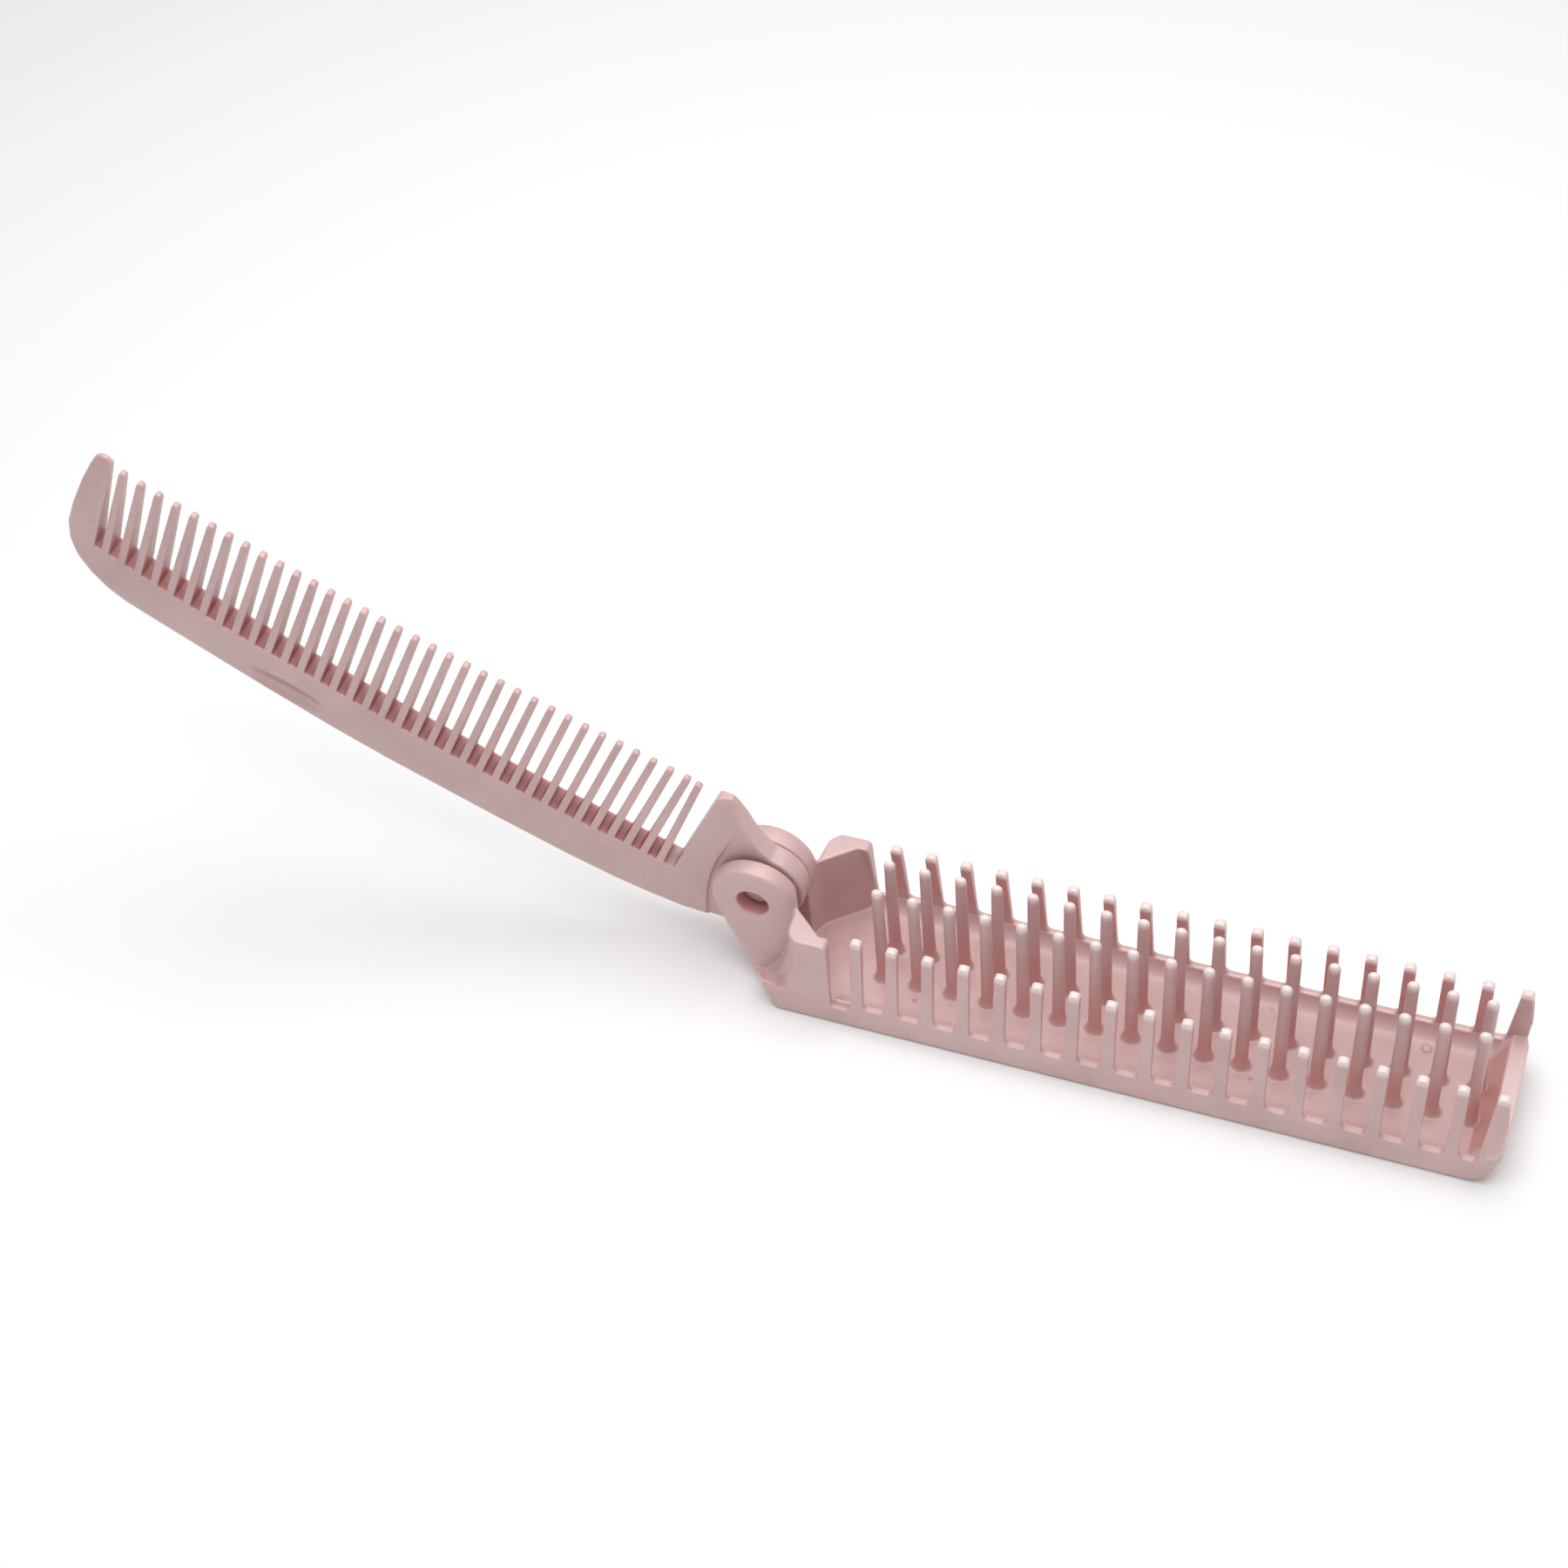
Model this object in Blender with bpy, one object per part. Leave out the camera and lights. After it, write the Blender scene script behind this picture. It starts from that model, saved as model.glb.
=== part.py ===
# Folding comb: a brush arm with rows of teeth in a tray, and a fine comb arm that
# folds over onto it about a cross axle. Each arm is one moulded piece.
# Sizes are in millimetres and are scaled to metres as each mesh is made.
# World frame: +X runs along the brush from the hinge to its free end, +Y across it,
# +Z up. The origin is on the underside, below the first pair of rim teeth.

from math import cos, radians, sin

import bmesh
import bpy
from mathutils import Vector

MM = 0.001

# Hinge
HINGE_X = -16.3
HINGE_Z = 14.3
OPEN_ANGLE = 26.0
AXLE_RADIUS = 2.05
AXLE_END_Y = 2.8
AXLE_HOLE_RADIUS = 2.32
ROUND_STEPS = 20

# Ears that hold the axle
EAR_INNER_Y = {-1: 1.95, 1: 1.8}
EAR_OUTER_Y = 4.85
EAR_RADIUS = 6.2
EAR_EDGE = {-1: 0.8, 1: 1.1}
EAR_INNER_EDGE = {-1: 0.4, 1: 0.15}
EAR_FOOT_X = -15.4
EAR_BACK = ((-16.0, 1.0), (-17.2, 3.3), (-18.9, 6.0), (-20.7, 8.8), (-21.7, 11.2))
EAR_FRONT_X = -9.9
EAR_FLARE_TOP_Z = 12.0
EAR_FLARE_FOOT_Z = 2.0
EAR_FLARE = 2.0
EAR_STRAP_LEVELS = (12.0, 9.5, 7.0, 4.5, 2.0)

# Brush arm: tray, rim and rim teeth
TRAY_HALF_WIDTH = 10.8
TRAY_EDGE = 0.6
PLAN_HALF_WIDTH = 10.9
FLOOR_Z = 1.5
RIM_Z = 4.1
RIM_OUTER_Y = 10.5
RIM_WALL = 1.1
TOOTH_TIP_Z = 16.5
TOOTH_TIP_OUTER_Y = 9.0
TOOTH_TIP_WALL = 1.3
TOOTH_TIP_BULGE = 0.3
FLOOR_FILLET = 1.8
TOOTH_PITCH = 5.0
RIM_TOOTH_COUNT = 17
TOOTH_BASE_HALF = 0.88
TOOTH_TIP_HALF = 0.77
TOOTH_TIP_ROUND = 0.5
SLOT_CORNER = 0.7
FIRST_SLOT_Z = 3.2
CORNER_TOOTH_X = 85.0
CORNER_TOOTH_REACH = 1.7
END_X = 86.5
END_ROUND = 6.0
END_CORNER = 3.0
END_TAPER_Z = 7.8
END_WALL_Z = 5.9
END_WALL_TOP_X = 84.2
END_WALL_FOOT_X = 82.0

# Gusset blocks between the ears and the first rim teeth, and the scoops beside the ears
GUSSET_Z = 15.0
GUSSET_FRONT_X = -4.0
GUSSET_TOP_OUTER_Y = 9.75
GUSSET_APEX = (-9.9, 4.2)
GUSSET_SHOULDER = (-4.3, 9.0)
SCOOP_OUTER = {"y": 10.4, "x": -13.0, "top_z": 15.1, "reach": 3.2, "depth": 10.8}
SCOOP_INNER = {"y": 5.5, "x": -16.4, "top_z": 15.2, "reach": 6.3, "depth": 13.0}
SCOOP_LIP_REACH = 1.2
SCOOP_LIP_RISE = 1.0
SCOOP_CORNER = ((0.0, 7.9), (0.4, 8.8), (1.1, 9.6), (2.2, 10.3), (3.4, 11.2))
HEEL_LEAN = 0.32
HEEL_PLAN = ((-11.0, PLAN_HALF_WIDTH), (-12.2, 10.5), (-13.0, 9.6), (-13.7, 8.3), (-14.9, 7.0),
             (EAR_FOOT_X, 6.0))

# Inner pins of the brush
PIN_COUNT = 17
PIN_OFFSET_X = 1.17
PIN_Y = 2.6
PIN_TIP_Z = 20.6
PIN_BASE_HALF = (0.95, 0.7)
PIN_TIP_HALF = (0.78, 0.5)
PIN_SIDES = 8

# Comb arm, in the plane (u, v): u from the axle towards the comb's tip, v towards the teeth
COMB_TOOTH_PITCH = 2.525
COMB_TOOTH_COUNT = 34
COMB_TOOTH_LAST_U = 99.45
COMB_TOOTH_BASE_HALF = 0.57
COMB_TOOTH_TIP_HALF = 0.53
COMB_TOOTH_TIP_FLAT = 0.28
COMB_TOOTH_FAN = 0.5
COMB_FAN_TEETH = 5
COMB_SLOT_CORNER = 0.15
BENT_TOOTH_REACH = 0.75
COMB_GUARD_U = 11.4
COMB_END_GUARD_U = 101.1
TIP_LINE = ((11.4, 12.1), (16.3, 12.0), (31.2, 11.2), (53.3, 10.4), (61.4, 10.2), (76.4, 10.3),
            (91.5, 10.9), (101.5, 11.6))
ROOT_LINE = ((11.2, -5.7), (19.2, -6.2), (29.2, -7.0), (39.3, -7.3), (49.3, -7.4), (59.4, -7.3),
             (69.4, -6.8), (79.4, -6.5), (89.5, -5.7), (101.0, -4.2))
BACK_LINE = ((12.5, -14.1), (17.8, -14.8), (24.6, -15.3), (35.7, -15.6), (53.6, -15.7), (61.9, -15.4),
             (73.0, -14.6), (81.3, -13.8), (89.6, -13.0), (95.0, -12.4))
END_GUARD = ((97.8, -11.6), (100.8, -10.0), (103.1, -8.0), (104.7, -5.4), (105.5, -2.4), (105.5, 1.4),
             (105.1, 6.4), (104.5, 10.3), (104.1, 11.9), (103.5, 12.7), (102.5, 12.8), (101.8, 12.4))
TIP_HALF_THICKNESS = 0.5
ROOT_HALF_THICKNESS = 2.0
BACK_HALF_THICKNESS = 2.2
TIP_V = 11.2
ROOT_V = -6.7
BACK_V = -15.7
BACK_EDGE = 1.0

# Hub of the comb arm: a tongue between the ears that rises into a guard beside the teeth
TONGUE_HALF = 1.5
TONGUE_RADIUS = 6.2
HUB_BACK = ((-5.4, -4.9), (-3.2, -8.5), (1.6, -11.1), (7.4, -13.1))
GUARD_PEAK = ((11.4, 11.6), (11.1, 12.1), (10.0, 12.8), (9.5, 12.8))
GUARD_SLOPE = ((9.0, 12.4), (7.1, 10.2), (5.1, 8.4), (3.0, 7.0), (0.9, 6.1))
GUARD_HALF_THICKNESS = {12.8: 0.5, 11.3: 1.1, 9.8: 1.5, ROOT_V: ROOT_HALF_THICKNESS}
RECESS_EDGE = ((7.2, 10.5), (7.3, 6.5), (7.35, 1.3), (7.0, -2.9), (6.0, -7.2), (4.5, -11.1),
               (3.0, -14.0), (1.8, -17.0))

# Thumb-nail notch in the comb's back
NOTCH_U = 69.9
NOTCH_V = -12.3
NOTCH_RADIUS = 2.8
NOTCH_DEPTH = 0.7
NOTCH_STRETCH = 3.2

PINK = (0.62, 0.42, 0.42, 1.0)


def arc(center, radius, start, end, steps):
    """Points on an arc, with its angles in degrees."""
    points = []
    for step in range(steps + 1):
        angle = radians(start + (end - start) * step / steps)
        points.append((center[0] + radius * cos(angle), center[1] + radius * sin(angle)))
    return points


def line_at(line, u):
    """Height of a polyline at u."""
    for (u0, v0), (u1, v1) in zip(line, line[1:]):
        if u <= u1 or (u1, v1) == line[-1]:
            return v0 + (v1 - v0) * (u - u0) / (u1 - u0)
    return line[-1][1]


def mirrored_section(points):
    """Half a section (y, z), closed by its reflection across the middle plane."""
    return list(points) + [(-y, z) for y, z in reversed(points)]


def mirrored_plan(points):
    """Half a plan (x, y), closed by its reflection across the middle plane."""
    return list(points) + [(x, -y) for x, y in reversed(points)]


def at_axis(point, axis, level):
    """A point of an outline in space: outlines across X hold (y, z), across Y hold
    (x, z) and across Z hold (x, y)."""
    a, b = point
    places = {"X": (level, a, b), "Y": (a, level, b), "Z": (a, b, level)}
    return Vector(places[axis])


def loft(bm, sections, axis):
    """A closed solid through outlines of equal length, given as (level, outline)."""
    rings = []
    for level, outline in sections:
        rings.append([bm.verts.new(at_axis(point, axis, level)) for point in outline])
    faces = [bm.faces.new(rings[0]), bm.faces.new(rings[-1])]
    for lower, upper in zip(rings, rings[1:]):
        for i in range(len(lower)):
            j = (i + 1) % len(lower)
            faces.append(bm.faces.new((lower[i], lower[j], upper[j], upper[i])))
    bmesh.ops.recalc_face_normals(bm, faces=faces)
    return faces


def prism(outline, axis, low, high):
    """A new mesh with one outline extruded between two levels."""
    bm = bmesh.new()
    loft(bm, [(low, outline), (high, outline)], axis)
    return bm


def make_object(name, bm, material=None):
    """Scale a millimetre mesh to metres and make it an object."""
    bmesh.ops.scale(bm, vec=(MM, MM, MM), verts=bm.verts)
    mesh = bpy.data.meshes.new(name)
    bm.to_mesh(mesh)
    bm.free()
    obj = bpy.data.objects.new(name, mesh)
    bpy.context.scene.collection.objects.link(obj)
    if material:
        mesh.materials.append(material)
    return obj


def make_tool(name, bm):
    """An object that only shapes another one."""
    tool = make_object(name, bm)
    tool.hide_render = True
    tool.display_type = "WIRE"
    return tool


def combine(target, operation, tool):
    modifier = target.modifiers.new(tool.name, "BOOLEAN")
    modifier.operation = operation
    modifier.solver = "EXACT"
    modifier.object = tool


def moulded_plastic(name):
    material = bpy.data.materials.new(name)
    material.use_nodes = True
    shader = material.node_tree.nodes["Principled BSDF"]
    shader.inputs["Base Color"].default_value = PINK
    shader.inputs["Roughness"].default_value = 0.45
    shader.inputs["Metallic"].default_value = 0.0
    return material


def rim_tooth(center, base_z, left_half, right_half):
    """One rim tooth in side view, from its right foot over the tip to its left foot."""
    corner_z = TOOTH_TIP_Z - TOOTH_TIP_ROUND
    flat_half = TOOTH_TIP_HALF - TOOTH_TIP_ROUND
    right = arc((center + flat_half, corner_z), TOOTH_TIP_ROUND, 0, 90, 2)
    left = arc((center - flat_half, corner_z), TOOTH_TIP_ROUND, 90, 180, 2)
    foot_right = [(center + right_half, base_z)]
    foot_left = [(center - left_half, base_z)]
    return foot_right + right + left + foot_left


def brush_side_outline():
    """Side view of the brush arm with its rim teeth, without the ears."""
    outline = [(EAR_FOOT_X, 0.0), (END_X - END_ROUND, 0.0)]
    outline += arc((END_X - END_ROUND, END_ROUND), END_ROUND, -75, 0, 5)
    foot_z = RIM_Z + SLOT_CORNER
    corner = rim_tooth(CORNER_TOOTH_X, foot_z, CORNER_TOOTH_REACH, 0.0)
    outline += [(END_X, END_TAPER_Z)] + corner[1:]
    for i in reversed(range(RIM_TOOTH_COUNT)):
        center = i * TOOTH_PITCH
        right_end = center + TOOTH_BASE_HALF + SLOT_CORNER
        left_tooth_reach = CORNER_TOOTH_REACH if i == RIM_TOOTH_COUNT - 1 else TOOTH_BASE_HALF
        left_end = center + TOOTH_PITCH - left_tooth_reach - SLOT_CORNER
        outline += arc((left_end, foot_z), SLOT_CORNER, -30, -90, 2)
        outline += arc((right_end, foot_z), SLOT_CORNER, -90, -150, 2)
        outline += rim_tooth(center, foot_z, TOOTH_BASE_HALF, TOOTH_BASE_HALF)
    first_foot_z = FIRST_SLOT_Z + SLOT_CORNER
    outline += arc((-TOOTH_BASE_HALF - SLOT_CORNER, first_foot_z), SLOT_CORNER, -30, -90, 2)
    outline += [(GUSSET_FRONT_X + 0.5, FIRST_SLOT_Z), (GUSSET_FRONT_X + 0.2, FIRST_SLOT_Z + 0.4)]
    outline += [(GUSSET_FRONT_X, GUSSET_Z - 0.5), (GUSSET_FRONT_X - 0.4, GUSSET_Z)]
    outline += [(EAR_FOOT_X - HEEL_LEAN * GUSSET_Z, GUSSET_Z)]
    return outline


def brush_outer_section(top_outer_y):
    """Section across the tray, whose sides lean in to top_outer_y at the height of its teeth."""
    top_z = TOOTH_TIP_Z + 1.0
    lean = (RIM_OUTER_Y - top_outer_y) / (TOOTH_TIP_Z - RIM_Z)
    edge = arc((TRAY_HALF_WIDTH - TRAY_EDGE, TRAY_EDGE), TRAY_EDGE, -90, 0, 4)
    side = [(RIM_OUTER_Y, RIM_Z), (top_outer_y - lean, top_z)]
    return mirrored_section(edge + side)


def brush_plan_outline(shift):
    """Plan of the brush arm, with its heel drawn back by shift."""
    side = arc((END_X - END_CORNER, PLAN_HALF_WIDTH - END_CORNER), END_CORNER, 0, 90, 3)
    return mirrored_plan(side + [(x - shift, y) for x, y in HEEL_PLAN])


def scoop_curve(y):
    """Side view of the hollow beside the ear, at distance y from the middle."""
    share = (y - SCOOP_INNER["y"]) / (SCOOP_OUTER["y"] - SCOOP_INNER["y"])
    size = {key: SCOOP_INNER[key] + share * (SCOOP_OUTER[key] - SCOOP_INNER[key]) for key in SCOOP_INNER}
    floor_z = size["top_z"] - size["depth"]
    points = [(size["x"] - SCOOP_LIP_REACH, floor_z + SCOOP_LIP_RISE)]
    points.append((size["x"] - 0.6 * SCOOP_LIP_REACH, floor_z + 0.35 * SCOOP_LIP_RISE))
    for step in range(8):
        angle = radians(90.0 * step / 7)
        x = size["x"] + size["reach"] * sin(angle)
        points.append((x, size["top_z"] - size["depth"] * cos(angle)))
    return points


def add_scoop(bm, side):
    """The hollow between an ear and the outer side of its gusset."""
    sections = []
    for shift, y in ((0.0, EAR_OUTER_Y - 0.6),) + SCOOP_CORNER:
        curve = [(x + shift, z) for x, z in scoop_curve(y)]
        outline = curve + [(curve[-1][0], 25.0), (-30.0, 25.0), (-30.0, curve[0][1])]
        sections.append((side * y, outline))
    loft(bm, sections, "Y")


def ear_outline(inset):
    """Side view of an ear: a disc about the axle, drawn down into a strap."""
    back = [(x + inset, z) for x, z in ((EAR_FOOT_X, 0.0),) + EAR_BACK]
    disc = arc((HINGE_X, HINGE_Z), EAR_RADIUS - inset, -172.0, -360.0, 16)
    return back + disc + [(EAR_FRONT_X, EAR_FLARE_TOP_Z), (EAR_FRONT_X, 0.0)]


def add_ear(bm, side):
    """One ear, with its outer edge rounded and its strap flaring towards the foot."""
    ear = bmesh.new()
    sections = []
    inner_edge = EAR_INNER_EDGE[side]
    for angle in (90.0, 45.0, 0.0):
        inset = inner_edge * (1.0 - cos(radians(angle)))
        level = EAR_INNER_Y[side] + inner_edge * (1.0 - sin(radians(angle)))
        sections.append((level, ear_outline(inset)))
    for angle in (0.0, 30.0, 60.0, 90.0):
        inset = EAR_EDGE[side] * (1.0 - cos(radians(angle)))
        level = EAR_OUTER_Y - EAR_EDGE[side] * (1.0 - sin(radians(angle)))
        sections.append((level, ear_outline(inset)))
    loft(ear, sections, "Y")
    for level in EAR_STRAP_LEVELS:
        parts = ear.verts[:] + ear.edges[:] + ear.faces[:]
        bmesh.ops.bisect_plane(ear, geom=parts, plane_co=(0.0, 0.0, level), plane_no=(0.0, 0.0, 1.0))
    for vert in ear.verts:
        if vert.co.y < EAR_INNER_Y[side] + inner_edge + 0.1:
            continue
        drop = (EAR_FLARE_TOP_Z - vert.co.z) / (EAR_FLARE_TOP_Z - EAR_FLARE_FOOT_Z)
        vert.co.y += EAR_FLARE * min(max(drop, 0.0), 1.0) ** 1.5
    if side < 0:
        bmesh.ops.scale(ear, vec=(1.0, -1.0, 1.0), verts=ear.verts)
        bmesh.ops.reverse_faces(ear, faces=ear.faces)
    mesh = bpy.data.meshes.new("ear")
    ear.to_mesh(mesh)
    ear.free()
    bm.from_mesh(mesh)
    bpy.data.meshes.remove(mesh)


def cavity_tool():
    """The space inside the tray, open at the top and between the ears."""
    side = [(-30.0, FLOOR_Z), (END_WALL_FOOT_X, FLOOR_Z), (END_WALL_TOP_X, END_WALL_Z),
            (95.0, END_WALL_Z), (95.0, 25.0), (-30.0, 25.0)]
    tool = make_tool("cavity_tool", prism(side, "Y", -14.0, 14.0))

    rim_inner = RIM_OUTER_Y - RIM_WALL
    tip_inner = TOOTH_TIP_OUTER_Y - TOOTH_TIP_WALL
    lean = (rim_inner - tip_inner) / (TOOTH_TIP_Z - RIM_Z)
    floor_half = rim_inner + lean * (RIM_Z - FLOOR_Z)
    section = [(floor_half - FLOOR_FILLET, 0.0), (floor_half - FLOOR_FILLET, FLOOR_Z),
               (floor_half - 0.3 * FLOOR_FILLET, FLOOR_Z + 0.3 * FLOOR_FILLET),
               (floor_half, FLOOR_Z + FLOOR_FILLET), (tip_inner + 0.5 * lean, TOOTH_TIP_Z - 0.5)]
    section += [(tip_inner + TOOTH_TIP_BULGE, TOOTH_TIP_Z), (tip_inner + TOOTH_TIP_BULGE, 25.0)]
    across = prism(mirrored_section(section), "X", -35.0, 96.0)
    combine(tool, "INTERSECT", make_tool("cavity_section", across))

    plan = [(96.0, 13.0), (GUSSET_FRONT_X, 13.0), (GUSSET_FRONT_X, GUSSET_SHOULDER[1] + 0.6),
            GUSSET_SHOULDER, GUSSET_APEX]
    throat_x = GUSSET_APEX[0] - 0.9
    throat = [(throat_x, EAR_INNER_Y[1]), (-35.0, EAR_INNER_Y[1]), (-35.0, -EAR_INNER_Y[-1]),
              (throat_x, -EAR_INNER_Y[-1])]
    plan = plan + throat + [(x, -y) for x, y in reversed(plan)]
    combine(tool, "INTERSECT", make_tool("cavity_plan", prism(plan, "Z", -2.0, 26.0)))
    return tool


def ellipse(center, half, sides):
    """An upright oval outline, half giving its half sizes."""
    turn = 360.0 / sides
    return [(center[0] + half[0] * cos(radians((i + 0.5) * turn)),
             center[1] + half[1] * sin(radians((i + 0.5) * turn))) for i in range(sides)]


def add_pin(bm, center):
    """One tapered brush pin with a domed tip."""
    base_half = Vector(PIN_BASE_HALF)
    tip_half = Vector(PIN_TIP_HALF)
    dome = tip_half.x
    sections = [(FLOOR_Z - 0.5, base_half), (PIN_TIP_Z - dome, tip_half)]
    for angle in (35.0, 65.0, 85.0):
        half = tip_half * cos(radians(angle))
        sections.append((PIN_TIP_Z - dome * (1.0 - sin(radians(angle))), half))
    loft(bm, [(z, ellipse(center, half, PIN_SIDES)) for z, half in sections], "Z")


def brush_arm(material):
    """Tray, rim teeth, end wall, gussets, ears and brush pins, all in one moulding."""
    arm = make_object("brush_arm", prism(brush_side_outline(), "Y", -13.0, 13.0), material)

    across = bmesh.new()
    gusset_section = brush_outer_section(GUSSET_TOP_OUTER_Y)
    tooth_section = brush_outer_section(TOOTH_TIP_OUTER_Y)
    loft(across, [(-30.0, gusset_section), (GUSSET_FRONT_X, gusset_section),
                  (GUSSET_FRONT_X + 1.0, tooth_section), (95.0, tooth_section)], "X")
    combine(arm, "INTERSECT", make_tool("brush_section", across))
    plan = bmesh.new()
    top = 20.0
    loft(plan, [(-1.0, brush_plan_outline(-HEEL_LEAN)), (top, brush_plan_outline(HEEL_LEAN * top))], "Z")
    combine(arm, "INTERSECT", make_tool("brush_plan", plan))

    scoops = bmesh.new()
    ears = bmesh.new()
    for side in (-1, 1):
        add_scoop(scoops, side)
        add_ear(ears, side)
    combine(arm, "DIFFERENCE", make_tool("scoop_tool", scoops))
    combine(arm, "UNION", make_tool("ear_tool", ears))
    combine(arm, "DIFFERENCE", cavity_tool())

    hole = ellipse((HINGE_X, HINGE_Z), (AXLE_HOLE_RADIUS, AXLE_HOLE_RADIUS), ROUND_STEPS)
    combine(arm, "DIFFERENCE", make_tool("axle_hole", prism(hole, "Y", -12.0, 12.0)))

    pins = bmesh.new()
    for i in range(PIN_COUNT):
        for side in (-1, 1):
            add_pin(pins, (PIN_OFFSET_X + i * TOOTH_PITCH, side * PIN_Y))
    combine(arm, "UNION", make_tool("pin_tool", pins))
    return arm


def comb_outline():
    """Side view of the comb arm before its slots are cut, as (u, v)."""
    outline = list(GUARD_PEAK) + list(GUARD_SLOPE)
    outline += arc((0.0, 0.0), TONGUE_RADIUS, 98.0, 194.0, 9)
    outline += list(HUB_BACK) + list(BACK_LINE) + list(END_GUARD)
    outline += [point for point in reversed(TIP_LINE) if point[0] > COMB_GUARD_U + 1.0]
    return outline


def comb_half_thickness(u, v):
    """Half the comb's thickness at a point of its side view."""
    if v <= ROOT_V:
        share = (ROOT_V - v) / (ROOT_V - BACK_V)
        return ROOT_HALF_THICKNESS + share * (BACK_HALF_THICKNESS - ROOT_HALF_THICKNESS)
    if u > COMB_GUARD_U + 0.3:
        share = (v - ROOT_V) / (TIP_V - ROOT_V)
        return ROOT_HALF_THICKNESS + share * (TIP_HALF_THICKNESS - ROOT_HALF_THICKNESS)
    levels = sorted(GUARD_HALF_THICKNESS)
    for low, high in zip(levels, levels[1:]):
        if v <= high or high == levels[-1]:
            share = (v - low) / (high - low)
            gain = GUARD_HALF_THICKNESS[high] - GUARD_HALF_THICKNESS[low]
            return GUARD_HALF_THICKNESS[low] + share * gain


def comb_blank():
    """The comb arm without slots, wedge-shaped in section."""
    outline = [(-u, v) for u, v in comb_outline()]
    bm = prism(outline, "Y", -1.0, 1.0)
    cuts = [((-COMB_GUARD_U - shift, 0.0, 0.0), (1.0, 0.0, 0.0)) for shift in (0.0, 0.6)]
    cuts += [((0.0, 0.0, v), (0.0, 0.0, 1.0)) for v in sorted(GUARD_HALF_THICKNESS)[:-1]]
    for place, normal in cuts:
        parts = bm.verts[:] + bm.edges[:] + bm.faces[:]
        bmesh.ops.bisect_plane(bm, geom=parts, plane_co=place, plane_no=normal)
    for vert in bm.verts:
        vert.co.y *= comb_half_thickness(-vert.co.x, vert.co.z)
    weights = bm.edges.layers.float.new("bevel_weight_edge")
    for edge in bm.edges:
        if edge.calc_face_angle(0.0) > radians(60.0):
            edge[weights] = back_edge_share(edge)
    return bm


def back_edge_share(edge):
    """How far an edge of the blank is rounded: fully along the back, less up the end."""
    ends = [vert.co for vert in edge.verts]
    if ends[0].y * ends[1].y < 0.0:
        return 0.0
    u = -0.5 * (ends[0].x + ends[1].x)
    v = 0.5 * (ends[0].z + ends[1].z)
    if v < ROOT_V and u > 3.0:
        return 1.0
    if u > COMB_END_GUARD_U + 1.0:
        return max(0.2, 1.0 - (v - ROOT_V) / 18.0)
    return 0.0


def comb_tooth_centers():
    """Foot and tip of each tooth along u, from the free end to the bent tooth at the guard."""
    centers = []
    for i in range(COMB_TOOTH_COUNT):
        foot = COMB_TOOTH_LAST_U - i * COMB_TOOTH_PITCH
        centers.append((foot, foot + COMB_TOOTH_FAN * max(0.0, 1.0 - i / COMB_FAN_TEETH)))
    foot = COMB_TOOTH_LAST_U - COMB_TOOTH_COUNT * COMB_TOOTH_PITCH
    return centers + [(foot, foot + BENT_TOOTH_REACH)]


def slot_side(center, direction, root_v, tip_v):
    """One side of a slot, from its root up past the tip of the tooth beside it."""
    foot, tip = center
    tip_drop = COMB_TOOTH_TIP_HALF - COMB_TOOTH_TIP_FLAT
    return [(foot + direction * (COMB_TOOTH_BASE_HALF + COMB_SLOT_CORNER), root_v),
            (foot + direction * COMB_TOOTH_BASE_HALF, root_v + COMB_SLOT_CORNER),
            (tip + direction * COMB_TOOTH_TIP_HALF, tip_v - 2.0 * tip_drop),
            (tip + direction * (COMB_TOOTH_TIP_FLAT + 0.4 * tip_drop), tip_v - 0.6 * tip_drop),
            (tip + direction * COMB_TOOTH_TIP_FLAT, tip_v + 0.05),
            (tip + direction * COMB_TOOTH_TIP_FLAT, tip_v + 3.0)]


def guard_side(u, direction, root_v, lean):
    """The straight side of a slot along a guard, which leans by lean at the tips."""
    top_v = 20.0
    top_u = u + lean * (top_v - root_v) / (TIP_V - root_v)
    return [(u + direction * COMB_SLOT_CORNER, root_v), (u, root_v + COMB_SLOT_CORNER), (top_u, top_v)]


def add_slots(bm):
    """The slots between the comb's teeth."""
    centers = comb_tooth_centers()
    for i in range(len(centers) + 1):
        high = centers[i - 1][0] if i else COMB_END_GUARD_U
        low = centers[i][0] if i < len(centers) else COMB_GUARD_U
        root_v = line_at(ROOT_LINE, 0.5 * (high + low))
        if i:
            high_side = slot_side(centers[i - 1], -1.0, root_v, line_at(TIP_LINE, high))
        else:
            high_side = guard_side(high, -1.0, root_v, COMB_TOOTH_FAN)
        if i < len(centers):
            low_side = slot_side(centers[i], 1.0, root_v, line_at(TIP_LINE, low))
        else:
            low_side = guard_side(low, 1.0, root_v, 0.0)
        outline = low_side[::-1] + high_side
        loft(bm, [(-6.0, [(-u, v) for u, v in outline]), (6.0, [(-u, v) for u, v in outline])], "Y")


def add_recess(bm, side):
    """The step round the ear that leaves only the tongue."""
    sections = []
    for y, shift in ((TONGUE_HALF, -0.4), (4.0, 0.1)):
        edge = [(u + shift, v) for u, v in RECESS_EDGE]
        outline = edge + [(-12.0, edge[-1][1]), (-12.0, edge[0][1])]
        sections.append((side * y, [(-u, v) for u, v in outline]))
    loft(bm, sections, "Y")


def add_axle(bm):
    """The stub axles on both faces of the tongue."""
    stub = ellipse((0.0, 0.0), (AXLE_RADIUS, AXLE_RADIUS), ROUND_STEPS)
    loft(bm, [(-AXLE_END_Y, stub), (AXLE_END_Y, stub)], "Y")


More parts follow.
